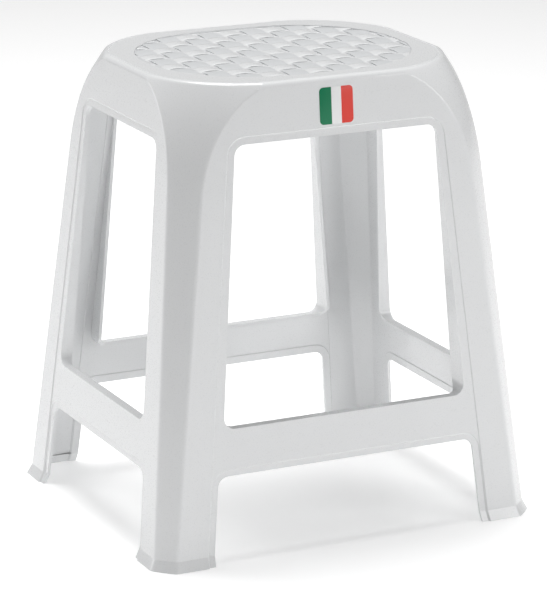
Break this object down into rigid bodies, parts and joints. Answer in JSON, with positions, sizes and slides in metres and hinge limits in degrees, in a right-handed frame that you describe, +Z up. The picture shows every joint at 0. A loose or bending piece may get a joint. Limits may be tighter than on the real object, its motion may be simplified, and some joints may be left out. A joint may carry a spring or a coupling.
{
  "type": "shower stool",
  "caption": "Stackable one-piece moulded shower stool with a woven-pattern seat, open sides, low rails and four flared channel legs.",
  "frame": {"origin": "centre of the stool on the floor", "axes": "+Z up; -Y out of the long face that carries the sticker; +X to the right of a person who faces that side"},
  "size_m": [0.407, 0.353, 0.45],
  "materials": {
    "moulding": "white polypropylene, satin gloss from a polished mould",
    "sticker": "printed self-adhesive film in plain green, white and red bands"
  },
  "bodies": {
    "root": {"seat_rim": "moulding", "seat_weave": "moulding", "gate_mark": "moulding", "seat_ribs": "moulding", "apron_front": "moulding", "apron_back": "moulding", "apron_left": "moulding", "apron_right": "moulding", "shoulder_front_left": "moulding", "shoulder_front_right": "moulding", "shoulder_back_left": "moulding", "shoulder_back_right": "moulding", "leg_front_left": "moulding", "leg_front_right": "moulding", "leg_back_left": "moulding", "leg_back_right": "moulding", "rail_front": "moulding", "rail_back": "moulding", "rail_left": "moulding", "rail_right": "moulding", "foot_front_left": "moulding", "foot_front_right": "moulding", "foot_back_left": "moulding", "foot_back_right": "moulding", "label": "sticker"}
  },
  "joints": []
}
